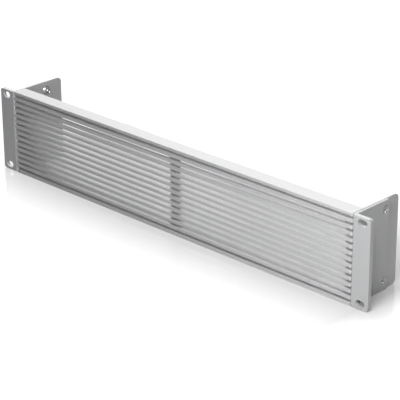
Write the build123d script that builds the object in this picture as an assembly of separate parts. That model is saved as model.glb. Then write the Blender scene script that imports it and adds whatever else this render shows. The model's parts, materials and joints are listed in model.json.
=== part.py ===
from build123d import *
import os

# Vented blanking panel for a 19 inch rack, two height units tall.
# The origin is on the floor under the middle of the panel. +Z is up, the slatted
# front faces -Y, and all lengths are in millimetres.

# Overall size
panel_width = 482.6
panel_height = 88.0
panel_depth = 63.0

# Slatted front, cut from one aluminium bar
grille_depth = 14.5
border_width = 10.0
centre_rib_width = 3.6
window_corner_radius = 6.0
slot_count = 14
slot_height = 2.8
groove_depth = 4.3
slat_depth = 3.9
slat_edge_chamfer = 0.3
grille_end_radius = 1.7
grille_rear_chamfer = 0.4

# Angle brackets with the rack ears
ear_width = 19.9
bracket_end_clearance = 0.5
flange_thickness = 4.0
leg_thickness = 2.1
leg_depth = 48.0
bracket_nose_radius = 2.0
bracket_root_radius = 1.0
ear_corner_radius = 2.8
ear_edge_chamfer = 0.3
leg_corner_radius = 1.5
grille_to_leg_clearance = 0.1
rack_hole_from_side = 8.75
rack_hole_from_end = 5.9
rack_slot_length = 10.3
rack_slot_width = 6.5

# Side plates of folded sheet
plate_thickness = 1.2
plate_corner_radius = 5.0
plate_bend_inner_radius = 0.8
tab_from_window = 0.1
tab_from_end = 6.0
tab_relief_width = 1.5
tab_relief_depth = 3.0

# Countersunk screws that hold each bracket to its side plate
bracket_screw_from_leg_end = 5.0
bracket_screw_from_end = 9.8
bracket_screw_radius = 2.0
bracket_screw_hole_clearance = 0.2
bracket_screw_head_radius = 4.0
bracket_screw_head_sink = 0.3
bracket_screw_end_margin = 0.3
bracket_recess_length = 4.6
bracket_recess_width = 0.9
bracket_recess_depth = 1.3

# Clinch nuts pressed into the side plates
nut_thread_clearance = 0.05
nut_shank_radius = 2.7
nut_shank_clearance = 0.02
nut_base_radius = 4.9
nut_end_radius = 3.8
nut_shoulder_height = 1.0
nut_height = 2.5
nut_shank_margin = 0.2

# Pan head screws that hold each side plate's tab to the back of the front
tab_screw_from_end = 14.0
tab_screw_radius = 1.5
tab_screw_hole_clearance = 0.2
tab_screw_thread_clearance = 0.05
tab_screw_length = 8.0
tab_screw_head_radius = 2.8
tab_screw_head_height = 2.0
tab_screw_head_rim_height = 1.1
tab_screw_head_top_radius = 1.9
tab_recess_length = 3.2
tab_recess_width = 0.7
tab_recess_depth = 1.1
tapped_hole_extra_depth = 1.0

# Values worked out from the sizes above
front_y = -panel_depth / 2
rear_y = panel_depth / 2
mid_z = panel_height / 2
grille_rear_y = front_y + grille_depth
ear_outer_x = panel_width / 2
leg_inner_x = ear_outer_x - ear_width
leg_outer_x = leg_inner_x + leg_thickness
grille_end_x = leg_inner_x - grille_to_leg_clearance
grille_width = 2 * grille_end_x
slot_pitch = (panel_height + slot_height) / (slot_count + 1)
window_height = panel_height - 2 * border_width
window_width = grille_end_x - border_width - centre_rib_width / 2
window_centre_x = centre_rib_width / 2 + window_width / 2
bracket_height = panel_height - 2 * bracket_end_clearance
rack_hole_x = ear_outer_x - rack_hole_from_side
plate_inner_x = leg_inner_x - plate_thickness
bracket_screw_y = front_y + leg_depth - bracket_screw_from_leg_end
tab_height = panel_height - 2 * tab_from_end
tab_inner_x = grille_end_x - border_width + tab_from_window
tab_width = leg_inner_x - tab_inner_x
tab_rear_y = grille_rear_y + plate_thickness
tab_screw_x = (tab_inner_x + plate_inner_x) / 2
SIDES = {"left": -1, "right": 1}

os.makedirs("parts", exist_ok=True)


def along_x(side):
    """Turn a part's axis from +Z to outwards along X on the given side."""
    return Rot(0, 90 * side, 0)


def upper_and_lower(from_end):
    """Heights of two places, each as far from its end of the panel."""
    return [from_end, panel_height - from_end]


def block(x_range, y_range, z_range):
    """Box between two values on each axis."""
    sizes = [high - low for low, high in (x_range, y_range, z_range)]
    middle = [(high + low) / 2 for low, high in (x_range, y_range, z_range)]
    return Pos(*middle) * Box(*sizes)


def cross_recess(length, width, depth):
    """Cross shaped recess cut down from z = 0."""
    arm = Box(length, width, 2 * depth)
    return arm + Rot(0, 0, 90) * arm


# Slatted front


def slat_profile():
    """Side view of the front: a bar with evenly spaced grooves in its face."""
    bar = Pos(front_y + grille_depth / 2, mid_z) * Rectangle(grille_depth, panel_height)
    groove = Rectangle(2 * groove_depth, slot_height)
    first_z = slot_pitch - slot_height / 2
    for index in range(slot_count):
        bar -= Pos(front_y, first_z + index * slot_pitch) * groove
    mouth = bar.vertices().group_by(Axis.X)[0]
    bar = chamfer(mouth, slat_edge_chamfer)
    back = bar.vertices().group_by(Axis.X)[-1]
    return chamfer(back, grille_rear_chamfer)


def end_outline():
    """Plan view of the front, with its two front corners rounded."""
    plan = Pos(0, front_y + grille_depth / 2) * Rectangle(grille_width, grille_depth)
    corners = plan.vertices().group_by(Axis.Y)[0]
    return fillet(corners, grille_end_radius)


def window_pocket(side):
    """Pocket milled from the back, which opens the grooves into slots."""
    outline = RectangleRounded(window_width, window_height, window_corner_radius)
    pocket = extrude(outline, grille_depth - slat_depth)
    return Pos(side * window_centre_x, grille_rear_y, mid_z) * Rot(90, 0, 0) * pocket


def tapped_hole(side, height):
    """Blind hole in the back of an end border for a tab screw."""
    radius = tab_screw_radius + tab_screw_thread_clearance
    depth = tab_screw_length - plate_thickness + tapped_hole_extra_depth
    hole = Rot(90, 0, 0) * Cylinder(radius, 2 * depth)
    return Pos(side * tab_screw_x, grille_rear_y, height) * hole


def build_front_grille():
    section = Plane.YZ * slat_profile()
    bar = extrude(section, grille_end_x, both=True)
    plan = extrude(end_outline(), panel_height)
    grille = bar & plan
    for side in SIDES.values():
        grille -= window_pocket(side)
        for height in upper_and_lower(tab_screw_from_end):
            grille -= tapped_hole(side, height)
    return grille


# Angle brackets


def bracket_outline():
    """Plan view of the right bracket: a thick ear and a thinner leg."""
    ear = Pos((leg_inner_x + ear_outer_x) / 2, front_y + flange_thickness / 2)
    ear *= Rectangle(ear_outer_x - leg_inner_x, flange_thickness)
    leg = Pos(leg_inner_x + leg_thickness / 2, front_y + leg_depth / 2)
    leg *= Rectangle(leg_thickness, leg_depth)
    outline = ear + leg
    nose = outline.vertices().sort_by_distance((leg_inner_x, front_y, 0))[0]
    outline = fillet(nose, bracket_nose_radius)
    root = outline.vertices().sort_by_distance((leg_outer_x, front_y + flange_thickness, 0))[0]
    return fillet(root, bracket_root_radius)


def rack_slot(height):
    """Oval hole through the ear for a rack screw."""
    slot = extrude(SlotOverall(rack_slot_length, rack_slot_width), flange_thickness, both=True)
    middle_y = front_y + flange_thickness / 2
    return Pos(rack_hole_x, middle_y, height) * Rot(90, 0, 0) * slot


def countersunk_hole(height):
    """Hole through the leg that takes a countersunk head."""
    hole_radius = bracket_screw_radius + bracket_screw_hole_clearance
    mouth_radius = bracket_screw_head_radius + bracket_screw_head_sink
    cone_depth = mouth_radius - hole_radius
    cone = Pos(0, 0, -cone_depth / 2) * Cone(hole_radius, mouth_radius, cone_depth)
    hole = cone + Cylinder(hole_radius, 4 * leg_thickness)
    return Pos(leg_outer_x, bracket_screw_y, height) * along_x(1) * hole


def build_ear_bracket(side):
    bracket = Pos(0, 0, mid_z - bracket_height / 2) * extrude(bracket_outline(), bracket_height)
    ear_corners = bracket.edges().filter_by(Axis.Y).group_by(Axis.X)[-1]
    bracket = fillet(ear_corners, ear_corner_radius)
    leg_corners = bracket.edges().filter_by(Axis.X).group_by(Axis.Y)[-1]
    bracket = fillet(leg_corners, leg_corner_radius)
    for height in upper_and_lower(rack_hole_from_end):
        bracket -= rack_slot(height)
    for height in upper_and_lower(bracket_screw_from_end):
        bracket -= countersunk_hole(height)
    front_edges = bracket.faces().sort_by(Axis.Y)[0].outer_wire().edges()
    long_edges = front_edges.filter_by(Axis.Z).sort_by(Axis.X)
    bracket = chamfer(long_edges[-1], ear_edge_chamfer)
    return bracket if side > 0 else mirror(bracket, Plane.YZ)


# Side plates


def plate_panel():
    """Flat sheet that runs back from the front, with rounded rear corners."""
    sheet = block((plate_inner_x, leg_inner_x), (grille_rear_y, rear_y), (0, panel_height))
    rear_corners = sheet.edges().filter_by(Axis.X).group_by(Axis.Y)[-1]
    sheet = fillet(rear_corners, plate_corner_radius)
    relief_end_y = grille_rear_y + tab_relief_depth
    relief_half = tab_height / 2 + tab_relief_width
    relief_z = (mid_z - relief_half, mid_z + relief_half)
    return sheet - block((plate_inner_x, leg_inner_x), (grille_rear_y, relief_end_y), relief_z)


def folded_tab():
    """Strip that turns through a bend and lies on the back of the front."""
    sheet_end_y = grille_rear_y + tab_relief_depth
    wall = Pos((plate_inner_x + leg_inner_x) / 2, (grille_rear_y + sheet_end_y) / 2)
    wall *= Rectangle(plate_thickness, tab_relief_depth)
    tab = Pos((tab_inner_x + leg_inner_x) / 2, (grille_rear_y + tab_rear_y) / 2)
    tab *= Rectangle(tab_width, plate_thickness)
    outline = wall + tab
    outer = outline.vertices().sort_by_distance((leg_inner_x, grille_rear_y, 0))[0]
    outline = fillet(outer, plate_bend_inner_radius + plate_thickness)
    inner = outline.vertices().sort_by_distance((plate_inner_x, tab_rear_y, 0))[0]
    outline = fillet(inner, plate_bend_inner_radius)
    return Pos(0, 0, mid_z - tab_height / 2) * extrude(outline, tab_height)


def build_side_plate(side):
    plate = plate_panel() + folded_tab()
    nut_hole = Cylinder(nut_shank_radius + nut_shank_clearance, 4 * plate_thickness)
    for height in upper_and_lower(bracket_screw_from_end):
        plate -= Pos(leg_inner_x, bracket_screw_y, height) * along_x(1) * nut_hole
    tab_hole = Cylinder(tab_screw_radius + tab_screw_hole_clearance, 4 * plate_thickness)
    for height in upper_and_lower(tab_screw_from_end):
        plate -= Pos(tab_screw_x, tab_rear_y, height) * Rot(90, 0, 0) * tab_hole
    return plate if side > 0 else mirror(plate, Plane.YZ)


# Fasteners


def clinch_nut():
    """Nut with its seat at z = 0, its body above and its shank below."""
    shank_length = plate_thickness - nut_shank_margin
    shank = Pos(0, 0, -shank_length / 2) * Cylinder(nut_shank_radius, shank_length)
    shoulder = Pos(0, 0, nut_shoulder_height / 2) * Cone(nut_base_radius, nut_end_radius, nut_shoulder_height)
    body = Pos(0, 0, nut_height / 2) * Cylinder(nut_end_radius, nut_height)
    bore = Cylinder(bracket_screw_radius + nut_thread_clearance, 4 * nut_height)
    return shank + shoulder + body - bore


def countersunk_screw():
    """Screw with the top of its head at z = 0 and its shank below."""
    cone_depth = bracket_screw_head_radius - bracket_screw_radius
    head = Pos(0, 0, -cone_depth / 2) * Cone(bracket_screw_radius, bracket_screw_head_radius, cone_depth)
    stack = leg_thickness + plate_thickness + nut_height
    length = stack - bracket_screw_head_sink - bracket_screw_end_margin
    shank = Pos(0, 0, -length / 2) * Cylinder(bracket_screw_radius, length)
    return head + shank - cross_recess(bracket_recess_length, bracket_recess_width, bracket_recess_depth)


def pan_screw():
    """Screw with its head's seat at z = 0, head above and shank below."""
    rim = Cylinder(tab_screw_head_radius, tab_screw_head_rim_height)
    dome_height = tab_screw_head_height - tab_screw_head_rim_height
    dome = Cone(tab_screw_head_radius, tab_screw_head_top_radius, dome_height)
    head = Pos(0, 0, tab_screw_head_rim_height / 2) * rim
    head += Pos(0, 0, tab_screw_head_height - dome_height / 2) * dome
    shank = Pos(0, 0, -tab_screw_length / 2) * Cylinder(tab_screw_radius, tab_screw_length)
    recess = Pos(0, 0, tab_screw_head_height) * cross_recess(tab_recess_length, tab_recess_width, tab_recess_depth)
    return head + shank - recess


def build_clinch_nuts(side):
    seat = [Pos(side * plate_inner_x, bracket_screw_y, z) for z in upper_and_lower(bracket_screw_from_end)]
    return Compound(children=[place * along_x(-side) * clinch_nut() for place in seat])


def build_bracket_screws(side):
    head_x = side * (leg_outer_x - bracket_screw_head_sink)
    seat = [Pos(head_x, bracket_screw_y, z) for z in upper_and_lower(bracket_screw_from_end)]
    return Compound(children=[place * along_x(side) * countersunk_screw() for place in seat])


def build_tab_screws(side):
    seat = [Pos(side * tab_screw_x, tab_rear_y, z) for z in upper_and_lower(tab_screw_from_end)]
    return Compound(children=[place * Rot(-90, 0, 0) * pan_screw() for place in seat])


# Every piece, one file each

nodes = {"front_grille": build_front_grille()}
for side_name, side in SIDES.items():
    nodes[side_name + "_ear_bracket"] = build_ear_bracket(side)
    nodes[side_name + "_side_plate"] = build_side_plate(side)
    nodes[side_name + "_clinch_nuts"] = build_clinch_nuts(side)
    nodes[side_name + "_bracket_screws"] = build_bracket_screws(side)
    nodes[side_name + "_tab_screws"] = build_tab_screws(side)

for node_name, shape in nodes.items():
    export_step(shape, "parts/" + node_name + ".step")
    box = shape.bounding_box()
    print(node_name, "from", tuple(box.min), "to", tuple(box.max))
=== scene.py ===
import json
import logging
import math
from dataclasses import dataclass, replace
from enum import Enum
from typing import Any, Callable, Mapping, Sequence, Union

import bmesh
import bpy
from bpy.types import ID, Material, Node, NodeSocket, NodeTree, Object
from mathutils import Matrix, Vector


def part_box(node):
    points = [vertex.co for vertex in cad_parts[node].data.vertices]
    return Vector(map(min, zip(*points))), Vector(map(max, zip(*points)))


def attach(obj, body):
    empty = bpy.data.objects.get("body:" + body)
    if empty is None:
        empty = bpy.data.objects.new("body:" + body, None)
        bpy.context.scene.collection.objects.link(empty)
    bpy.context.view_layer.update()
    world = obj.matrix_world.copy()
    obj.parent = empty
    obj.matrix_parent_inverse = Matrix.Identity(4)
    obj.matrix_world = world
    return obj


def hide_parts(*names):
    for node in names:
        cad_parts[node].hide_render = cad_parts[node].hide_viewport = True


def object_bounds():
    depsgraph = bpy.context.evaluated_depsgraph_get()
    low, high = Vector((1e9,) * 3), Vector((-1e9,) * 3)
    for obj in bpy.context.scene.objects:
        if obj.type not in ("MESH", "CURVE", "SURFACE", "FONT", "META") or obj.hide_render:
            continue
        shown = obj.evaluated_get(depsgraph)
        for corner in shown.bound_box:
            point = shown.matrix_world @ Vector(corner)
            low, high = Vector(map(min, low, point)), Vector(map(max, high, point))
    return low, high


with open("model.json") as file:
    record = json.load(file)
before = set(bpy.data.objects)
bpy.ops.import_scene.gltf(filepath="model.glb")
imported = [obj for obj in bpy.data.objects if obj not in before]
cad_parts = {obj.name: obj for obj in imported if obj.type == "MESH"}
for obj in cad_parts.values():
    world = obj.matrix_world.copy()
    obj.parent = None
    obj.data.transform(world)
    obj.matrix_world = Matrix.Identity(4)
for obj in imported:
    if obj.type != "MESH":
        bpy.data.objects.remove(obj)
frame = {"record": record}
CAD_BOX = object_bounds()

# A vented blanking panel for a 19 inch rack, dressed for its portrait.
# Lengths are in metres. The slatted front faces -Y and +Z is up.

LOG = logging.getLogger("vented_panel")
MM = 0.001
BODY = "root"
EDGE_MARK = "bevel_weight_edge"
WELD = 0.001 * MM
SHARP_ANGLE = math.radians(32)

Point2 = tuple[float, float]
Point3 = tuple[float, float, float]
Colour = Point3


class Side(Enum):
    """The two ends of the panel, as the sign of X."""

    LEFT = -1
    RIGHT = 1

    @property
    def word(self) -> str:
        """The side's name as the nodes spell it."""
        return self.name.lower()


class Direction(Enum):
    """The axis that a flat outline is drawn out along."""

    X = 0
    Y = 1
    Z = 2

    def place(self, across: float, up: float, along: float) -> Vector:
        """The point at two outline coordinates and a distance along this axis."""
        outline = (across, up)
        return Vector((*outline[: self.value], along, *outline[self.value :]))


class Grain(Enum):
    """How a finish's fine marks run, as the stretch of its noise on each axis."""

    BLASTED = (1.0, 1.0, 1.0)
    BRUSHED_X = (0.02, 1.0, 1.0)
    BRUSHED_Y = (1.0, 0.03, 1.0)
    BRUSHED_Z = (1.0, 1.0, 0.03)


# Node trees


def _sign(operation: str, reflected: bool = False) -> Callable[["Wire", "Value"], "Wire"]:
    """Makes the method behind an arithmetic sign.

    Args:
        operation: The Math node's operation.
        reflected: True where the wire stands on the right of the sign.

    Returns:
        A method that adds the Math node.
    """

    def method(self: "Wire", other: "Value") -> "Wire":
        """The wire and the other value, joined by the sign."""
        return self.math(operation, *((other, self) if reflected else (self, other)))

    return method


class Wire:
    """A node's output, which arithmetic turns into more nodes."""

    def __init__(self, net: "Net", socket: NodeSocket) -> None:
        """Keeps the net that new nodes go into, and the output itself."""
        self.net = net
        self.socket = socket

    def math(self, operation: str, *values: "Value") -> "Wire":
        """Adds a Math node on the given values."""
        made = self.net.add("ShaderNodeMath", {"operation": operation}, dict(enumerate(values)))
        return made["Value"]

    __add__ = _sign("ADD")
    __radd__ = _sign("ADD", reflected=True)
    __sub__ = _sign("SUBTRACT")
    __rsub__ = _sign("SUBTRACT", reflected=True)
    __mul__ = _sign("MULTIPLY")
    __rmul__ = _sign("MULTIPLY", reflected=True)
    __truediv__ = _sign("DIVIDE")
    __gt__ = _sign("GREATER_THAN")
    __lt__ = _sign("LESS_THAN")
    larger = _sign("MAXIMUM")


Value = Union[Wire, float, int, Sequence[float]]


class Outputs:
    """A node's outputs by name."""

    def __init__(self, net: "Net", node: Node) -> None:
        """Keeps the net and the node."""
        self.net = net
        self.node = node

    def __getitem__(self, name: str) -> Wire:
        """The output with that identifier or name."""
        found = [s for s in self.node.outputs if s.identifier == name]
        return Wire(self.net, found[0] if found else self.node.outputs[name])


class Net:
    """A node tree that is filled by calls."""

    def __init__(self, tree: NodeTree) -> None:
        """Keeps the tree."""
        self.tree = tree

    def add(
        self,
        kind: str,
        settings: Mapping[str, Any] | None = None,
        values: Mapping[str | int, Any] | None = None,
    ) -> Outputs:
        """Adds one node.

        Args:
            kind: Blender's type name of the node.
            settings: The node's own settings, which are set first.
            values: A wire, a list of wires, a number or a vector for each input, by
                identifier, name or index.

        Returns:
            The node's outputs.
        """
        node = self.tree.nodes.new(kind)
        for name, setting in (settings or {}).items():
            setattr(node, name, setting)
        for key, value in (values or {}).items():
            self.feed(node, key, value)
        return Outputs(self, node)

    def feed(self, node: Node, key: str | int, value: Any) -> None:
        """Links or sets one input of a node.

        Args:
            node: The node.
            key: The input's identifier, name or index.
            value: A wire, a list of wires, a number or a vector.
        """
        found = [s for s in node.inputs if s.identifier == key]
        socket = found[0] if found else node.inputs[key]
        for one in value if isinstance(value, list) else [value]:
            if isinstance(one, Wire):
                self.tree.links.new(one.socket, socket)
            else:
                socket.default_value = one

    def vector(self, x: Value, y: Value, z: Value) -> Wire:
        """A vector from three values."""
        return self.add("ShaderNodeCombineXYZ", values={"X": x, "Y": y, "Z": z})["Vector"]

    def scaled(self, vector: Wire, factors: Sequence[float]) -> Wire:
        """A vector with each part multiplied by its own factor."""
        made = self.add("ShaderNodeVectorMath", {"operation": "MULTIPLY"}, {0: vector, 1: factors})
        return made["Vector"]

    def noise(self, place: Wire, scale: float, detail: float = 2.0) -> Wire:
        """Smooth noise between about 0 and 1, in cells of 1 / scale."""
        values = {"Vector": place, "Scale": scale, "Detail": detail}
        return self.add("ShaderNodeTexNoise", values=values)["Fac"]

    def tint(self, factor: Value, low: Value, high: Value) -> Wire:
        """A colour between two colours."""
        values = {"Factor_Float": factor, "A_Color": low, "B_Color": high}
        return self.add("ShaderNodeMix", {"data_type": "RGBA"}, values)["Result_Color"]


class ShapeTree(Net):
    """A geometry node tree with named sizes, which ends as one plain mesh."""

    def __init__(self, name: str) -> None:
        """Makes an empty tree with an input and an output."""
        super().__init__(bpy.data.node_groups.new(name, "GeometryNodeTree"))
        self.source = self.tree.nodes.new("NodeGroupInput")
        self.sizes: dict[str, float | int] = {}

    def named(self, name: str, value: float | int) -> Wire:
        """Adds a named size.

        Args:
            name: The size's name in the tree.
            value: Its value, which the modifier is given.

        Returns:
            The size as a wire.
        """
        kind = "NodeSocketInt" if isinstance(value, int) else "NodeSocketFloat"
        entry = self.tree.interface.new_socket(name, in_out="INPUT", socket_type=kind)
        self.sizes[entry.identifier] = value
        return Outputs(self, self.source)[entry.identifier]

    def named_from(self, piece: Any, *sizes: str) -> list[Wire]:
        """Adds some of a piece's own sizes, each under its own name."""
        return [self.named(size.replace("_", " ").title(), getattr(piece, size)) for size in sizes]

    def place(self) -> Outputs:
        """A point's X, Y and Z, as fields."""
        position = self.add("GeometryNodeInputPosition")["Position"]
        return self.add("ShaderNodeSeparateXYZ", values={"Vector": position})

    def moved(self, shape: Wire, shift: Value = (0, 0, 0), turn: Value = (0, 0, 0)) -> Wire:
        """A shape that is turned about the origin and then moved."""
        values = {"Geometry": shape, "Translation": shift, "Rotation": turn}
        return self.add("GeometryNodeTransform", values=values)["Geometry"]

    def box(self, size: Wire) -> Wire:
        """A box about the origin."""
        return self.add("GeometryNodeMeshCube", values={"Size": size})["Mesh"]

    def cut(self, shape: Wire, *tools: Wire) -> Wire:
        """A shape with the tools taken away from it."""
        settings = {"operation": "DIFFERENCE", "solver": "EXACT"}
        values = {"Mesh 1": shape, "Mesh 2": list(tools)}
        return self.add("GeometryNodeMeshBoolean", settings, values)["Mesh"]

    def prism(self, outline: Wire, length: Wire) -> Wire:
        """A flat outline in X and Y, drawn out along +Z into a closed solid."""
        end = self.vector(0, 0, length)
        path = self.add("GeometryNodeCurvePrimitiveLine", values={"End": end})["Curve"]
        values = {"Curve": path, "Profile Curve": outline, "Fill Caps": True}
        swept = self.add("GeometryNodeCurveToMesh", values=values)["Mesh"]
        merge = {"Geometry": swept, "Distance": WELD}
        return self.add("GeometryNodeMergeByDistance", values=merge)["Geometry"]

    def rectangle(self, width: Value, height: Value, radius: Value, steps: int) -> Wire:
        """A rectangle about the origin whose corners are rounded by a radius field."""
        values = {"Width": width, "Height": height}
        plain = self.add("GeometryNodeCurvePrimitiveQuadrilateral", values=values)["Curve"]
        rounding = {"Curve": plain, "Count": steps, "Radius": radius}
        return self.add("GeometryNodeFilletCurve", {"mode": "POLY"}, rounding)["Curve"]

    def row(self, shape: Wire, count: Value, first: Wire, step: Wire) -> Wire:
        """Copies of a shape in a straight row, as real geometry."""
        line_values = {"Count": count, "Start Location": first, "Offset": step}
        line = self.add("GeometryNodeMeshLine", values=line_values)["Mesh"]
        values = {"Points": line, "Instance": shape}
        copies = self.add("GeometryNodeInstanceOnPoints", values=values)["Instances"]
        return self.add("GeometryNodeRealizeInstances", values={"Geometry": copies})["Geometry"]

    def turned(self, outline: Sequence[tuple[Value, Value]], fillet: Value, facets: int) -> Wire:
        """Spins an outline of (radius, height) points about Z.

        Args:
            outline: Points from the top down on the outside.
            fillet: Radius that softens the outline's corners.
            facets: How many flats go round.

        Returns:
            The closed turned shape.
        """
        lathe_radius = 20 * MM
        soft_steps = 3
        line = self.add("GeometryNodeMeshLine", values={"Count": len(outline)})["Mesh"]
        pick = self.add("GeometryNodeIndexSwitch", {"data_type": "VECTOR"})
        for _ in range(len(outline) - 2):
            pick.node.index_switch_items.new()
        self.feed(pick.node, "Index", self.add("GeometryNodeInputIndex")["Index"])
        for index, (radius, height) in enumerate(outline):
            # A circular path takes the profile's X outwards and its Y down.
            place = self.vector(radius - lathe_radius, 0 - height, 0)
            self.feed(pick.node, f"Item_{index}", place)
        placed = {"Geometry": line, "Position": pick["Output"]}
        bent = self.add("GeometryNodeSetPosition", values=placed)["Geometry"]
        curve = self.add("GeometryNodeMeshToCurve", values={"Mesh": bent})["Curve"]
        soft = {"Curve": curve, "Count": soft_steps, "Radius": fillet}
        profile = self.add("GeometryNodeFilletCurve", {"mode": "POLY"}, soft)["Curve"]
        circle = {"Resolution": facets, "Radius": lathe_radius}
        path = self.add("GeometryNodeCurvePrimitiveCircle", values=circle)["Curve"]
        swept = {"Curve": path, "Profile Curve": profile}
        mesh = self.add("GeometryNodeCurveToMesh", values=swept)["Mesh"]
        merge = {"Geometry": mesh, "Distance": 2 * WELD}
        return self.add("GeometryNodeMergeByDistance", values=merge)["Geometry"]

    def cross_recess(self, head: Wire, top: Value, recess: Point3) -> Wire:
        """Cuts a tapering cross into a screw's head.

        Args:
            head: The screw, with its axis on Z.
            top: Height of the head's top.
            recess: Length, arm width and depth of the cross.

        Returns:
            The screw with its recess.
        """
        taper = 0.5
        names = ("Recess", "Arm", "Recess Depth")
        length, width, depth = [self.named(name, size) for name, size in zip(names, recess)]
        for size in (self.vector(length, width, depth * 2), self.vector(width, length, depth * 2)):
            parts = self.place()
            grow = parts["Z"] / depth * taper + 1
            wedge = self.vector(parts["X"] * grow, parts["Y"] * grow, parts["Z"])
            values = {"Geometry": self.box(size), "Position": wedge}
            arm = self.add("GeometryNodeSetPosition", values=values)["Geometry"]
            head = self.cut(head, self.moved(arm, self.vector(0, 0, top)))
        return head

    def marked(self, shape: Wire, wanted: Wire) -> Wire:
        """Marks the sharp edges of a region for rounding.

        Args:
            shape: The geometry.
            wanted: One where edges may be rounded.

        Returns:
            The geometry with its marked edges.
        """
        angle = self.add("GeometryNodeInputMeshEdgeAngle")["Unsigned Angle"]
        settings = {"data_type": "FLOAT", "domain": "EDGE"}
        values = {"Geometry": shape, "Name": EDGE_MARK, "Value": (angle > SHARP_ANGLE) * wanted}
        return self.add("GeometryNodeStoreNamedAttribute", settings, values)["Geometry"]

    def piece(self, name: str, shape: Wire, material: Material) -> Object:
        """Ends the tree and hangs it on a new object.

        Args:
            name: The new object's name.
            shape: The finished geometry.
            material: The material it wears.

        Returns:
            The object, with the tree as its modifier.
        """
        self.tree.interface.new_socket("Shape", in_out="OUTPUT", socket_type="NodeSocketGeometry")
        real = self.add("GeometryNodeRealizeInstances", values={"Geometry": shape})["Geometry"]
        dressed = {"Geometry": real, "Material": material}
        worn = self.add("GeometryNodeSetMaterial", values=dressed)["Geometry"]
        self.add("NodeGroupOutput", values={0: worn})
        piece = new_object(name, bpy.data.meshes.new(name))
        modifier = piece.modifiers.new("shape", "NODES")
        modifier.node_group = self.tree
        for identifier, value in self.sizes.items():
            modifier[identifier] = value
        return piece


# Meshes


def new_object(name: str, data: ID) -> Object:
    """Makes an object and links it to the scene."""
    made = bpy.data.objects.new(name, data)
    bpy.context.scene.collection.objects.link(made)
    return made


def apply_modifiers(piece: Object) -> None:
    """Turns a piece and its modifiers into one plain mesh."""
    graph = bpy.context.evaluated_depsgraph_get()
    mesh = bpy.data.meshes.new_from_object(piece.evaluated_get(graph), depsgraph=graph)
    mesh.name = piece.name
    piece.modifiers.clear()
    piece.data = mesh


def round_edges(piece: Object, radius: float, marked: bool = False) -> None:
    """Rounds the sharp edges of a piece and smooths what is round.

    Args:
        piece: The piece.
        radius: Radius of the edges.
        marked: True where only marked edges are rounded.
    """
    bevel = piece.modifiers.new("edges", "BEVEL")
    bevel.width = radius
    bevel.segments = 2
    bevel.limit_method = "WEIGHT" if marked else "ANGLE"
    bevel.angle_limit = SHARP_ANGLE
    bevel.miter_outer = "MITER_ARC"
    apply_modifiers(piece)
    smooth(piece)


def smooth(piece: Object) -> None:
    """Shades a piece smooth, but keeps its sharp edges and flat faces."""
    piece.data.shade_smooth()
    piece.data.set_sharp_from_angle(angle=SHARP_ANGLE)
    weighted = piece.modifiers.new("normals", "WEIGHTED_NORMAL")
    weighted.keep_sharp = True
    apply_modifiers(piece)


@dataclass(frozen=True)
class Corner:
    """A corner of an outline.

    Attributes:
        across: First coordinate.
        up: Second coordinate.
        radius: Radius that rounds the corner, or 0.
    """

    across: float
    up: float
    radius: float = 0.0


def rounded(corners: Sequence[Corner], steps: int = 8) -> list[Point2]:
    """Draws an outline with an arc at each rounded corner.

    Args:
        corners: The corners in order.
        steps: How many parts an arc has.

    Returns:
        The outline's points.
    """
    points: list[Point2] = []
    for index, corner in enumerate(corners):
        here = Vector((corner.across, corner.up))
        before = corners[index - 1]
        after = corners[(index + 1) % len(corners)]
        back = (Vector((before.across, before.up)) - here).normalized()
        ahead = (Vector((after.across, after.up)) - here).normalized()
        if not corner.radius:
            points.append(tuple(here))
            continue
        half = back.angle(ahead) / 2
        centre = here + (back + ahead).normalized() * corner.radius / math.sin(half)
        start = here + back * corner.radius / math.tan(half) - centre
        end = here + ahead * corner.radius / math.tan(half) - centre
        first = math.atan2(start.y, start.x)
        sweep = (math.atan2(end.y, end.x) - first + math.pi) % math.tau - math.pi
        for step in range(steps + 1):
            angle = first + sweep * step / steps
            spoke = Vector((math.cos(angle), math.sin(angle))) * corner.radius
            points.append(tuple(centre + spoke))
    return points


def oval(centre: Point2, length: float, width: float) -> list[Point2]:
    """Outline of an oval hole that is longer across than up, or of a round one."""
    steps = 12
    just_under_half = 0.49995
    across, up = centre
    signs = ((-1, -1), (1, -1), (1, 1), (-1, 1))
    places = [(across + sx * length / 2, up + sy * width / 2) for sx, sy in signs]
    return rounded([Corner(x, y, width * just_under_half) for x, y in places], steps)


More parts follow.
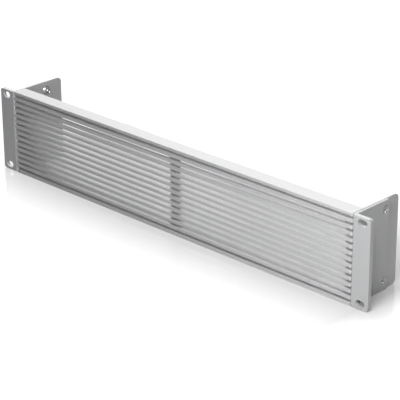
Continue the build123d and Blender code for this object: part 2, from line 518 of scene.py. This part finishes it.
class Stock:
    """A closed solid that is worked step by step, as on a machine."""

    def __init__(
        self,
        name: str,
        outline: Sequence[Point2],
        direction: Direction,
        reach: Point2,
        taper: float = 1.0,
    ) -> None:
        """Draws an outline out into a solid.

        Args:
            name: Name of the object.
            outline: The outline's points.
            direction: The axis that it is drawn out along.
            reach: Where on that axis the solid starts and ends.
            taper: Size of the end face, as a share of the start face.
        """
        count = len(outline)
        middle = Vector((sum(p[0] for p in outline), sum(p[1] for p in outline))) / count
        shape = bmesh.new()
        rings = []
        for along, share in zip(reach, (1.0, taper)):
            flat = [middle + (Vector(point) - middle) * share for point in outline]
            rings.append([shape.verts.new(direction.place(p.x, p.y, along)) for p in flat])
        for ring in rings:
            shape.faces.new(ring)
        for index in range(count):
            after = (index + 1) % count
            shape.faces.new((rings[0][index], rings[0][after], rings[1][after], rings[1][index]))
        bmesh.ops.recalc_face_normals(shape, faces=shape.faces)
        mesh = bpy.data.meshes.new(name)
        shape.to_mesh(mesh)
        shape.free()
        self.object = new_object(name, mesh)

    def work(self, operation: str, *tools: "Stock") -> None:
        """Joins, cuts or trims the solid.

        Args:
            operation: UNION, DIFFERENCE or INTERSECT.
            tools: The solids that do it, which are used up.
        """
        for tool in tools:
            step = self.object.modifiers.new("step", "BOOLEAN")
            step.operation = operation
            step.solver = "EXACT"
            step.object = tool.object
            apply_modifiers(self.object)
            bpy.data.objects.remove(tool.object)

    def done(self, edge_radius: float, material: Material) -> Object:
        """Rounds the edges and puts the material on.

        Args:
            edge_radius: Radius of the edges.
            material: The material it wears.

        Returns:
            The finished object.
        """
        shape = bmesh.new()
        shape.from_mesh(self.object.data)
        bmesh.ops.remove_doubles(shape, verts=shape.verts, dist=WELD)
        flat = 0.001
        bmesh.ops.dissolve_limit(shape, angle_limit=flat, verts=shape.verts, edges=shape.edges)
        bmesh.ops.recalc_face_normals(shape, faces=shape.faces)
        shape.to_mesh(self.object.data)
        shape.free()
        round_edges(self.object, edge_radius)
        self.object.data.materials.clear()
        self.object.data.materials.append(material)
        return self.object


def put_in_place(piece: Object, node: str) -> None:
    """Ties a piece to the frame and reports it.

    Args:
        piece: The finished piece.
        node: The node that it stands for.
    """
    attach(piece, BODY)
    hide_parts(node)
    LOG.info("%s stands for %s with %d faces", piece.name, node, len(piece.data.polygons))


# Finishes


@dataclass(frozen=True)
class MetalFinish:
    """A satin metal surface with grain, soft clouds of tone and a shallow relief.

    Attributes:
        name: The material's name.
        tone: Its colour.
        grain: How its fine marks run.
        cloud_size: Width of a soft cloud.
        metallic: How metallic it is, from 0 to 1.
        roughness: Mean roughness.
        grain_size: Width of a fine mark.
        grain_contrast: How much the marks change the tone and the roughness.
        cloud_contrast: How much the clouds change the tone and the roughness.
        relief: Depth of the marks.
    """

    name: str
    tone: Colour
    grain: Grain
    cloud_size: float
    metallic: float = 0.6
    roughness: float = 0.6
    grain_size: float = 0.5 * MM
    grain_contrast: float = 0.05
    cloud_contrast: float = 0.04
    relief: float = 0.004 * MM

    def material(self) -> Material:
        """Builds the material."""
        swing = 0.5
        roughness_share = 0.5
        made = bpy.data.materials.new(self.name)
        made.use_nodes = True
        made.node_tree.nodes.clear()
        net = Net(made.node_tree)
        place = net.add("ShaderNodeTexCoord")["Object"]
        marks = net.noise(net.scaled(place, self.grain.value), 1 / self.grain_size, 3.0) - 0.5
        clouds = net.noise(place, 1 / self.cloud_size, 2.0) - 0.5
        change = marks * self.grain_contrast + clouds * self.cloud_contrast
        dark = (*[part * (1 - swing) for part in self.tone], 1.0)
        light = (*[min(1.0, part * (1 + swing)) for part in self.tone], 1.0)
        height = {"Height": marks, "Strength": 1.0, "Distance": self.relief}
        values = {
            "Base Color": net.tint(change + 0.5, dark, light),
            "Metallic": self.metallic,
            "Roughness": change * roughness_share + self.roughness,
            "Normal": net.add("ShaderNodeBump", values=height)["Normal"],
        }
        shader = net.add("ShaderNodeBsdfPrincipled", values=values)["BSDF"]
        net.add("ShaderNodeOutputMaterial", values={"Surface": shader})
        return made


ANODISED_FRONT = MetalFinish(
    name="satin_anodised_bar", tone=(0.68, 0.684, 0.7), grain=Grain.BRUSHED_X, cloud_size=22 * MM
)
ANODISED_BRACKET = MetalFinish(
    name="satin_anodised_angle",
    tone=(0.66, 0.664, 0.68),
    grain=Grain.BRUSHED_Z,
    cloud_size=20 * MM,
    metallic=0.65,
    roughness=0.55,
    grain_contrast=0.04,
)
SHEET_PLATE = MetalFinish(
    name="matt_anodised_sheet",
    tone=(0.66, 0.664, 0.68),
    grain=Grain.BRUSHED_Y,
    cloud_size=16 * MM,
    grain_size=0.4 * MM,
    cloud_contrast=0.05,
)
PLATED_NUT = MetalFinish(
    name="bright_zinc_nut",
    tone=(0.85, 0.85, 0.86),
    grain=Grain.BLASTED,
    cloud_size=4 * MM,
    metallic=0.95,
    roughness=0.2,
    grain_size=0.4 * MM,
    grain_contrast=0.06,
    cloud_contrast=0.06,
)
PLATED_SCREW = replace(PLATED_NUT, name="bright_zinc_screw", roughness=0.22)


# The panel's pieces


@dataclass(frozen=True)
class SlattedFront:
    """The bar whose face is grooved into slats and whose back holds two windows.

    Attributes:
        slots: Number of grooves.
        slot_height: Height of a groove.
        groove_depth: Depth of a groove.
        slat_depth: What the windows leave of a slat's depth.
        border: Width of the solid border.
        rib: Width of the upright rib between the windows.
        window_corner: Radius of the windows' corners.
        end_radius: Radius of the bar's front corners, seen from above.
        edge_radius: Radius of the slats' edges.
    """

    slots: int = 14
    slot_height: float = 2.8 * MM
    groove_depth: float = 4.3 * MM
    slat_depth: float = 3.9 * MM
    border: float = 10.0 * MM
    rib: float = 3.6 * MM
    window_corner: float = 6.0 * MM
    end_radius: float = 1.0 * MM
    edge_radius: float = 0.3 * MM

    def build(self, material: Material) -> Object:
        """Mills the bar.

        Args:
            material: The finish it wears.

        Returns:
            The finished front.
        """
        overrun = 1.1
        skin = 0.01 * MM
        low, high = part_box("front_grille")
        tree = ShapeTree("slatted_front")
        width = tree.named("Width", high.x - low.x)
        depth = tree.named("Depth", high.y - low.y)
        height = tree.named("Height", high.z - low.z)
        front = tree.named("Front", low.y)
        slots, slot_height, groove = tree.named_from(self, "slots", "slot_height", "groove_depth")
        bar = self.bar(tree, width, depth, height, front)
        pitch = (height + slot_height) / (slots + 1)
        cutter = tree.box(tree.vector(width * overrun, groove * 2, slot_height))
        first = tree.vector(0, front, pitch - slot_height / 2)
        bar = tree.cut(bar, tree.row(cutter, slots, first, tree.vector(0, 0, pitch)))
        bar = tree.cut(bar, *self.windows(tree, width, depth, height, front))
        y = tree.place()["Y"]
        mouth = y < front + self.end_radius
        back = y > front + depth - skin
        bar = tree.marked(bar, mouth.larger(back))
        piece = tree.piece("milled_slatted_front", bar, material)
        round_edges(piece, self.edge_radius, marked=True)
        return piece

    def bar(self, tree: ShapeTree, width: Wire, depth: Wire, height: Wire, front: Wire) -> Wire:
        """The plain bar, with its two front corners rounded."""
        y = tree.place()["Y"]
        radius = tree.named("End Radius", self.end_radius) * (y < 0)
        plan = tree.rectangle(width, depth, radius, steps=6)
        return tree.moved(tree.prism(plan, height), tree.vector(0, front + depth / 2, 0))

    def windows(
        self, tree: ShapeTree, width: Wire, depth: Wire, height: Wire, front: Wire
    ) -> list[Wire]:
        """The two tools that mill the windows from the back."""
        sizes = ("border", "rib", "window_corner", "slat_depth")
        border, rib, corner, slat = tree.named_from(self, *sizes)
        span = width / 2 - border - rib / 2
        tool_length = depth * 2
        outline = tree.rectangle(span, height - border * 2, corner, steps=8)
        upright = tree.moved(tree.prism(outline, tool_length), turn=(-math.pi / 2, 0, 0))
        middle = rib / 2 + span / 2
        start = front + slat
        places = [tree.vector(middle * side.value, start, height / 2) for side in Side]
        return [tree.moved(upright, place) for place in places]


@dataclass(frozen=True)
class EndPiece:
    """A piece that both ends of the panel have.

    Attributes:
        side: Which end it is on.
    """

    side: Side

    def box(self, node: str) -> tuple[Vector, Vector]:
        """Lowest and highest corner of this end's node of that name."""
        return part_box(f"{self.side.word}_{node}")

    def screw_places(self, node: str, across: Direction) -> list[Vector]:
        """Middles of a node's two round fasteners.

        Args:
            node: The node's name without its side.
            across: The level axis that their heads lie across.

        Returns:
            Their middles, the lower one first.
        """
        low, high = self.box(node)
        middle = (low + high) / 2
        radius = (high - low)[across.value] / 2
        return [Vector((middle.x, middle.y, z)) for z in (low.z + radius, high.z - radius)]


@dataclass(frozen=True)
class EarBracket(EndPiece):
    """The angle with the rack ear on one end of the panel.

    Attributes:
        flange: Thickness of the ear.
        leg: Thickness of the leg.
        nose_radius: Radius of the front corner beside the slats.
        root_radius: Radius between the ear and the leg.
        ear_corner: Radius of the ear's outer corners.
        leg_corner: Radius of the leg's rear corners.
        edge_radius: Radius of all other edges.
        screw_hole: Radius of the screw holes in the leg.
        screw_mouth: Radius of their countersinks.
    """

    flange: float = 4.0 * MM
    leg: float = 2.1 * MM
    nose_radius: float = 2.0 * MM
    root_radius: float = 1.0 * MM
    ear_corner: float = 2.8 * MM
    leg_corner: float = 1.5 * MM
    edge_radius: float = 0.3 * MM
    screw_hole: float = 2.2 * MM
    screw_mouth: float = 4.6 * MM

    def build(self, material: Material) -> Object:
        """Saws, drills and rounds the angle.

        Args:
            material: The finish it wears.

        Returns:
            The finished bracket.
        """
        sign = self.side.value
        low, high = self.box("ear_bracket")
        inner, outer = sorted((abs(low.x), abs(high.x)))
        leg_outer = inner + self.leg
        front, rear = low.y, high.y
        plan = [
            Corner(sign * inner, front, self.nose_radius),
            Corner(sign * outer, front),
            Corner(sign * outer, front + self.flange),
            Corner(sign * leg_outer, front + self.flange, self.root_radius),
            Corner(sign * leg_outer, rear),
            Corner(sign * inner, rear),
        ]
        name = f"{self.side.word}_rack_angle"
        angle = Stock(name, rounded(plan), Direction.Z, (low.z, high.z))
        margin = 5 * MM
        heights = (low.z, high.z)
        ear_places = (sign * (inner - margin), sign * (leg_outer + margin), sign * outer)
        ear_face = end_mask(ear_places, heights, self.ear_corner, margin)
        ear_tool = Stock("ear_tool", ear_face, Direction.Y, (front - margin, rear + margin))
        leg_places = (front - margin, front + 2 * margin, rear)
        leg_face = end_mask(leg_places, heights, self.leg_corner, margin)
        leg_reach = (sign * (inner - margin), sign * (outer + margin))
        leg_tool = Stock("leg_tool", leg_face, Direction.X, leg_reach)
        angle.work("INTERSECT", ear_tool, leg_tool)
        angle.work("DIFFERENCE", *self.rack_slots(front))
        angle.work("DIFFERENCE", *self.countersinks(leg_outer))
        return angle.done(self.edge_radius, material)

    def rack_slots(self, front: float) -> list[Stock]:
        """Tools for the oval holes, where the record's mount has them."""
        mount = next(m for m in frame["record"]["mounts"] if m["name"] == "rack_holes")
        dims = mount["dims"]
        across = self.side.value * dims["spacing_x_mm"] * MM / 2
        length = dims["slot_length_mm"] * MM
        width = 2 * dims["hole_r_mm"] * MM
        reach = (front - self.flange, front + 2 * self.flange)
        tools = []
        for sign in (-1, 1):
            up = mount["pos_m"][2] + sign * dims["spacing_y_mm"] * MM / 2
            tools.append(Stock("slot_tool", oval((across, up), length, width), Direction.Y, reach))
        return tools

    def countersinks(self, leg_outer: float) -> list[Stock]:
        """Tools for the screw holes in the leg and their cones."""
        sign = self.side.value
        depth = self.screw_mouth - self.screw_hole
        tools = []
        reach = (sign * leg_outer, sign * (leg_outer - depth))
        through = (sign * (leg_outer - 2 * self.leg), sign * (leg_outer + self.leg))
        taper = self.screw_hole / self.screw_mouth
        for place in self.screw_places("bracket_screws", Direction.Y):
            tools.append(round_tool(place, Direction.X, self.screw_mouth, reach, taper))
            tools.append(round_tool(place, Direction.X, self.screw_hole, through))
        return tools


def end_mask(places: Point3, heights: Point2, radius: float, margin: float) -> list[Point2]:
    """Outline that keeps a plate and rounds the two corners of its far end.

    Args:
        places: Where it starts, where it closes in on the plate, and the far end.
        heights: Heights of the plate's bottom and top.
        radius: Radius of the far corners.
        margin: How far it clears the plate before it closes in.

    Returns:
        The outline's points.
    """
    start, step, end = places
    low, high = heights
    corners = [
        Corner(start, low - margin),
        Corner(step, low - margin),
        Corner(step, low),
        Corner(end, low, radius),
        Corner(end, high, radius),
        Corner(step, high),
        Corner(step, high + margin),
        Corner(start, high + margin),
    ]
    return rounded(corners)


def round_tool(
    place: Vector, direction: Direction, radius: float, reach: Point2, taper: float = 1.0
) -> Stock:
    """A round tool that goes through a place along an axis."""
    across, up = [part for axis, part in enumerate(place) if axis != direction.value]
    return Stock("drill", oval((across, up), 2 * radius, 2 * radius), direction, reach, taper)


@dataclass(frozen=True)
class SidePlate(EndPiece):
    """The folded sheet behind one bracket's leg.

    Attributes:
        thickness: Thickness of the sheet.
        rear_corner: Radius of the rear corners.
        bend: Inner radius of the fold.
        tab_from_end: How far the tab stops from the top and the bottom.
        relief: Width and depth of the notches beside the fold.
        nut_hole: Radius of the holes for the clinch nuts.
        tab_hole: Radius of the holes for the tab screws.
        edge_radius: Radius of the sheet's edges.
    """

    thickness: float = 1.2 * MM
    rear_corner: float = 5.0 * MM
    bend: float = 0.8 * MM
    tab_from_end: float = 6.0 * MM
    relief: Point2 = (1.5 * MM, 3.0 * MM)
    nut_hole: float = 2.72 * MM
    tab_hole: float = 1.7 * MM
    edge_radius: float = 0.2 * MM

    def build(self, material: Material) -> Object:
        """Cuts, pierces and folds the sheet.

        Args:
            material: The finish it wears.

        Returns:
            The finished plate.
        """
        sign = self.side.value
        low, high = self.box("side_plate")
        tab_inner, outer = sorted((abs(low.x), abs(high.x)))
        inner = outer - self.thickness
        front, rear = low.y, high.y
        relief_width, relief_depth = self.relief
        tab_low, tab_high = low.z + self.tab_from_end, high.z - self.tab_from_end
        face = [
            Corner(front, low.z),
            Corner(rear, low.z, self.rear_corner),
            Corner(rear, high.z, self.rear_corner),
            Corner(front, high.z),
            Corner(front, tab_high + relief_width),
            Corner(front + relief_depth, tab_high + relief_width),
            Corner(front + relief_depth, tab_low - relief_width),
            Corner(front, tab_low - relief_width),
        ]
        name = f"{self.side.word}_folded_plate"
        plate = Stock(name, rounded(face), Direction.X, (sign * inner, sign * outer))
        overlap = front + relief_depth + 0.5 * self.thickness
        fold = [
            Corner(sign * tab_inner, front),
            Corner(sign * outer, front, self.bend + self.thickness),
            Corner(sign * outer, overlap),
            Corner(sign * inner, overlap),
            Corner(sign * inner, front + self.thickness, self.bend),
            Corner(sign * tab_inner, front + self.thickness),
        ]
        plate.work("UNION", Stock("tab", rounded(fold), Direction.Z, (tab_low, tab_high)))
        through_x = (sign * (inner - self.thickness), sign * (outer + self.thickness))
        through_y = (front - self.thickness, front + 2 * self.thickness)
        for place in self.screw_places("bracket_screws", Direction.Y):
            plate.work("DIFFERENCE", round_tool(place, Direction.X, self.nut_hole, through_x))
        for place in self.screw_places("tab_screws", Direction.X):
            plate.work("DIFFERENCE", round_tool(place, Direction.Y, self.tab_hole, through_y))
        return plate.done(self.edge_radius, material)


@dataclass(frozen=True)
class FastenerPair(EndPiece):
    """Two like turned fasteners at one end of the panel, one above the other.

    Attributes:
        soft_edge: Radius of the turned edges.
        facets: Flats round a fastener.
    """

    soft_edge: float = 0.15 * MM
    facets: int = 48

    def stand(
        self,
        tree: ShapeTree,
        shape: Wire,
        seat: tuple[Value, Value],
        heights: Point2,
        name: str,
        material: Material,
    ) -> Object:
        """Sets two of a shape one above the other and ends its tree.

        Args:
            tree: The tree that turned the shape.
            shape: One fastener, laid along its own axis.
            seat: Where it sits, on X and on Y.
            heights: Heights of the lower and the upper one.
            name: What the pair is called, without its side.
            material: The finish they wear.

        Returns:
            Both fasteners as one piece.
        """
        lower, upper = heights
        first = tree.vector(*seat, tree.named("Lower Height", lower))
        pitch = tree.vector(0, 0, tree.named("Pitch", upper - lower))
        pair = tree.row(shape, 2, first, pitch)
        piece = tree.piece(f"{self.side.word}_{name}", pair, material)
        apply_modifiers(piece)
        smooth(piece)
        return piece


@dataclass(frozen=True)
class CountersunkScrews(FastenerPair):
    """The two screws that hold a bracket to its side plate.

    Attributes:
        head_radius: Radius of the head.
        shank_radius: Radius of the shank.
        recess: Length, arm width and depth of the cross recess.
        lean: How far the heads lean towards the front, in radians.
    """

    head_radius: float = 3.7 * MM
    shank_radius: float = 2.0 * MM
    recess: Point3 = (4.6 * MM, 0.9 * MM, 1.3 * MM)
    lean: float = math.radians(8)
    soft_edge: float = 0.12 * MM

    def build(self, material: Material) -> Object:
        """Turns the screws.

        Args:
            material: The finish they wear.

        Returns:
            Both screws as one piece.
        """
        sign = self.side.value
        low, high = self.box("bracket_screws")
        lower, upper = self.screw_places("bracket_screws", Direction.Y)
        tree = ShapeTree("countersunk_screws")
        head, shank, soft = tree.named_from(self, "head_radius", "shank_radius", "soft_edge")
        length = tree.named("Length", high.x - low.x)
        tip = soft * 3
        outline = [
            (0, 0),
            (head, 0),
            (head, soft * -2),
            (shank, shank - head - soft * 2),
            (shank, tip - length),
            (shank - tip, length * -1),
            (0, length * -1),
        ]
        screw = tree.turned(outline, soft, self.facets)
        screw = tree.cross_recess(screw, 0, self.recess)
        screw = tree.moved(screw, turn=(self.lean, 0, 0))
        laid = tree.moved(screw, turn=(0, sign * math.pi / 2, 0))
        seat = (high.x if sign > 0 else low.x, lower.y)
        return self.stand(tree, laid, seat, (lower.z, upper.z), "countersunk_screws", material)


@dataclass(frozen=True)
class ClinchNuts(FastenerPair):
    """The two nuts that are pressed into a side plate from inside.

    Attributes:
        base_radius: Radius at the seat.
        end_radius: Radius of the body.
        shoulder: Height of the cone between them.
        shank_radius: Radius of the shank in the sheet.
        shank_length: Length of the shank.
        bore_radius: Radius of the bore.
    """

    base_radius: float = 4.9 * MM
    end_radius: float = 3.8 * MM
    shoulder: float = 1.0 * MM
    shank_radius: float = 2.7 * MM
    shank_length: float = 1.0 * MM
    bore_radius: float = 2.05 * MM

    def build(self, material: Material) -> Object:
        """Turns the nuts.

        Args:
            material: The finish they wear.

        Returns:
            Both nuts as one piece.
        """
        sign = self.side.value
        low, high = self.box("clinch_nuts")
        lower, upper = self.screw_places("clinch_nuts", Direction.Y)
        tree = ShapeTree("clinch_nuts")
        radii = ("base_radius", "end_radius", "shank_radius", "bore_radius")
        base, end, shank, bore = tree.named_from(self, *radii)
        shoulder, drop, soft = tree.named_from(self, "shoulder", "shank_length", "soft_edge")
        height = tree.named("Length", high.x - low.x) - drop
        outline = [
            (bore, height - soft * 2),
            (bore + soft * 2, height),
            (end, height),
            (end, shoulder),
            (base, 0),
            (shank, 0),
            (shank, drop * -1),
            (bore, drop * -1),
            (bore, height - soft * 2),
        ]
        nut = tree.turned(outline, soft, self.facets)
        laid = tree.moved(nut, turn=(0, -sign * math.pi / 2, 0))
        seat = (tree.named("Seat", low.x if sign > 0 else high.x) + height * sign, lower.y)
        return self.stand(tree, laid, seat, (lower.z, upper.z), "pressed_nuts", material)


@dataclass(frozen=True)
class TabScrews(FastenerPair):
    """The two pan head screws that hold a side plate's tab to the front.

    Attributes:
        head_radius: Radius of the head.
        head_height: Height of the head.
        rim_height: Height of the head's upright rim.
        top_radius: Radius where the dome ends.
        shank_radius: Radius of the shank.
        recess: Length, arm width and depth of the cross recess.
    """

    head_radius: float = 2.8 * MM
    head_height: float = 2.0 * MM
    rim_height: float = 1.1 * MM
    top_radius: float = 1.9 * MM
    shank_radius: float = 1.5 * MM
    recess: Point3 = (3.2 * MM, 0.7 * MM, 1.1 * MM)
    soft_edge: float = 0.2 * MM
    facets: int = 40

    def build(self, material: Material) -> Object:
        """Turns the screws.

        Args:
            material: The finish they wear.

        Returns:
            Both screws as one piece.
        """
        low, high = self.box("tab_screws")
        lower, upper = self.screw_places("tab_screws", Direction.X)
        tree = ShapeTree("tab_screws")
        head, crown, shank = tree.named_from(self, "head_radius", "top_radius", "shank_radius")
        top, rim, soft = tree.named_from(self, "head_height", "rim_height", "soft_edge")
        length = tree.named("Length", high.y - low.y)
        outline = [
            (0, top),
            (crown, top),
            (head, rim),
            (head, 0),
            (shank, 0),
            (shank, top - length + soft),
            (shank - soft, top - length),
            (0, top - length),
        ]
        screw = tree.turned(outline, soft, self.facets)
        screw = tree.cross_recess(screw, top, self.recess)
        laid = tree.moved(screw, turn=(-math.pi / 2, 0, 0))
        seat = (lower.x, tree.named("Rear", high.y) - top)
        return self.stand(tree, laid, seat, (lower.z, upper.z), "pan_head_screws", material)


# Studio


def grey(level: float) -> tuple[float, float, float, float]:
    """An opaque grey."""
    return (level, level, level, 1.0)


@dataclass(frozen=True)
class SoftBox:
    """A large soft lamp.

    Attributes:
        name: Its name.
        place: Where it stands.
        target: What it points at.
        size: Width and height of its face.
        power: Its power in watts.
    """

    name: str
    place: Point3
    target: Point3
    size: Point2
    power: float

    def build(self) -> None:
        """Hangs the lamp."""
        data = bpy.data.lights.new(self.name, "AREA")
        data.shape = "RECTANGLE"
        data.size, data.size_y = self.size
        data.energy = self.power
        lamp = new_object(self.name, data)
        lamp.location = self.place
        aim = Vector(self.target) - Vector(self.place)
        lamp.rotation_euler = aim.to_track_quat("-Z", "Y").to_euler()
        lamp.visible_camera = False


@dataclass(frozen=True)
class PortraitCamera:
    """The photograph's camera.

    Attributes:
        place: Where it stands.
        heading: Turn about the upright, to the left of +Y, in radians.
        tilt: How far it looks down, in radians.
        roll: Turn about the line of sight, in radians.
        focal_pixels: Focal length in pixels of the photograph.
        axis_pixels: Where the line of sight meets the photograph, in pixels.
        image_pixels: Width and height of the photograph.
        sensor: Width of the sensor in millimetres.
    """

    place: Point3 = (1.0735, -1.0933, 0.6877)
    heading: float = 0.7761
    tilt: float = 0.4055
    roll: float = -0.0066
    focal_pixels: float = 1747.5
    axis_pixels: Point2 = (192.5, 194.84)
    image_pixels: float = 400.0
    sensor: float = 36.0

    def build(self) -> None:
        """Sets the camera up."""
        data = bpy.data.cameras.new("portrait_camera")
        data.sensor_width = self.sensor
        data.lens = self.focal_pixels / self.image_pixels * self.sensor
        data.shift_x = 0.5 - self.axis_pixels[0] / self.image_pixels
        data.shift_y = self.axis_pixels[1] / self.image_pixels - 0.5
        turn = Matrix.Rotation(self.heading, 4, "Z")
        turn @= Matrix.Rotation(math.pi / 2 - self.tilt, 4, "X")
        turn @= Matrix.Rotation(self.roll, 4, "Z")
        camera = new_object("portrait_camera", data)
        camera.matrix_world = Matrix.Translation(self.place) @ turn
        bpy.context.scene.camera = camera


@dataclass(frozen=True)
class Studio:
    """A pale floor, a white surround and soft lamps.

    Attributes:
        floor_size: Width of the floor.
        floor_tone: Colour of the floor.
        floor_roughness: Roughness of its sheen.
        floor_glow: How much whiter the floor is to the eye than to the panel, beside
            the panel and far from it. The low glow beside the panel is a painted shadow.
        glow_fade: How far before the panel the glow takes to rise out of that painted shadow.
        behind: How far behind the panel it starts to rise.
        right_foot: Where beside the right leg it starts to rise.
        side_rise: How many times faster it rises beside the panel.
        left_rise: How much it rises for each metre towards the left, which paints the floor
            darker towards the right.
        ambient: Strength of the surround as a light.
        mirrored: How much of the white surround behind the panel its metal shows.
    """

    floor_size: float = 12.0
    floor_tone: float = 0.38
    floor_roughness: float = 0.08
    floor_glow: Point2 = (0.17, 0.86)
    glow_fade: float = 120 * MM
    behind: float = 100 * MM
    right_foot: float = 230 * MM
    side_rise: float = 2.5
    left_rise: float = 0.85
    ambient: float = 0.02
    mirrored: float = 0.05

    def build(self, lamps: Sequence[SoftBox]) -> None:
        """Builds the floor, the surround and the lamps.

        Args:
            lamps: The lamps to hang.
        """
        bpy.context.scene.view_settings.view_transform = "Standard"
        self.build_floor()
        self.build_surround()
        for lamp in lamps:
            lamp.build()

    def build_floor(self) -> None:
        """Lays the floor just under the panel."""
        half = self.floor_size / 2
        mesh = bpy.data.meshes.new("floor")
        down = -0.01 * MM
        signs = ((-1, -1), (1, -1), (1, 1), (-1, 1))
        corners = [(sx * half, sy * half, down) for sx, sy in signs]
        mesh.from_pydata(corners, [], [(0, 1, 2, 3)])
        floor = new_object("floor", mesh)
        material = bpy.data.materials.new("pale_floor")
        material.use_nodes = True
        material.node_tree.nodes.clear()
        net = Net(material.node_tree)
        place = net.add("ShaderNodeTexCoord")["Object"]
        parts = net.add("ShaderNodeSeparateXYZ", values={"Vector": place})
        # Painted shadow: the glow that only the camera sees is low round the panel, from just
        # before it to a little behind it and beside its legs. It rises away from the panel and
        # towards the left, so the floor looks shaded round the panel on top of its real shadow.
        beside = (parts["X"] - self.right_foot).larger(CAD_BOX[0].x - parts["X"]).larger(0)
        before = (CAD_BOX[0].y - parts["Y"]).larger(parts["Y"] - self.behind).larger(0)
        rise = (beside * self.side_rise + before) / self.glow_fade
        leftward = CAD_BOX[1].x - parts["X"]
        painted_shadow_glow, far = self.floor_glow
        tint = net.tint(rise + leftward * self.left_rise, grey(painted_shadow_glow), grey(far))
        glow = net.add("ShaderNodeEmission", values={"Color": tint})["Emission"]
        values = {"Base Color": grey(self.floor_tone), "Roughness": self.floor_roughness}
        lit = net.add("ShaderNodeBsdfPrincipled", values=values)["BSDF"]
        both = net.add("ShaderNodeAddShader", values={0: lit, 1: glow})["Shader"]
        seen = net.add("ShaderNodeLightPath")["Is Camera Ray"]
        shown = net.add("ShaderNodeMixShader", values={0: seen, 1: lit, 2: both})["Shader"]
        net.add("ShaderNodeOutputMaterial", values={"Surface": shown})
        mesh.materials.append(material)

    def build_surround(self) -> None:
        """Makes the surround: white to the eye, faint in the metal and dim as a light."""
        world = bpy.data.worlds.new("surround")
        bpy.context.scene.world = world
        world.use_nodes = True
        world.node_tree.nodes.clear()
        net = Net(world.node_tree)
        rays = net.add("ShaderNodeLightPath")
        heading = net.add("ShaderNodeTexCoord")["Generated"]
        behind = net.add("ShaderNodeSeparateXYZ", values={"Vector": heading})["Y"] > 0
        shows = rays["Is Camera Ray"].larger(rays["Is Glossy Ray"] * behind * self.mirrored)
        values = {"Color": grey(1.0), "Strength": self.ambient}
        dim = net.add("ShaderNodeBackground", values=values)["Background"]
        white = net.add("ShaderNodeBackground", values={"Color": grey(1.0)})["Background"]
        surround = net.add("ShaderNodeMixShader", values={0: shows, 1: dim, 2: white})["Shader"]
        net.add("ShaderNodeOutputWorld", values={"Surface": surround})


LAMPS = [
    SoftBox("right_back_lamp", (-0.45, 0.78, 0.63), (0, 0, 0), (0.7, 0.7), 1.85),
    SoftBox("left_back_lamp", (-0.78, 0.45, 0.63), (0, 0, 0), (0.7, 0.7), 2.45),
    SoftBox("overhead_lamp", (-0.82, 0.22, 1.81), (0, 0, 0), (1.2, 1.2), 11.2),
    SoftBox("high_front_lamp", (0.5, -0.45, 0.75), (0.2, 0, 0.04), (0.4, 0.3), 4.0),
    SoftBox("near_front_lamp", (0.3, -0.28, 0.34), (0.24, 0, 0.04), (0.2, 0.2), 1.5),
    SoftBox("right_front_lamp", (1.1, -0.8, 0.25), (0.2, 0, 0.05), (0.8, 0.4), 2.6),
    SoftBox("left_edge_lamp", (-0.96, -0.62, 0.96), (0, 0, 0.05), (0.5, 0.5), 1.8),
]


def main() -> None:
    """Builds every piece in order, then the studio."""
    logging.basicConfig(level=logging.INFO, format="%(message)s")
    finishes = (ANODISED_FRONT, ANODISED_BRACKET, SHEET_PLATE, PLATED_NUT, PLATED_SCREW)
    bar, angle, sheet, nut, screw = [finish.material() for finish in finishes]
    put_in_place(SlattedFront().build(bar), "front_grille")
    for side in Side:
        word = side.word
        put_in_place(EarBracket(side).build(angle), f"{word}_ear_bracket")
        put_in_place(SidePlate(side).build(sheet), f"{word}_side_plate")
        put_in_place(ClinchNuts(side).build(nut), f"{word}_clinch_nuts")
        put_in_place(CountersunkScrews(side).build(screw), f"{word}_bracket_screws")
        put_in_place(TabScrews(side).build(screw), f"{word}_tab_screws")
    PortraitCamera().build()
    Studio().build(LAMPS)


if __name__ == "__main__":
    main()
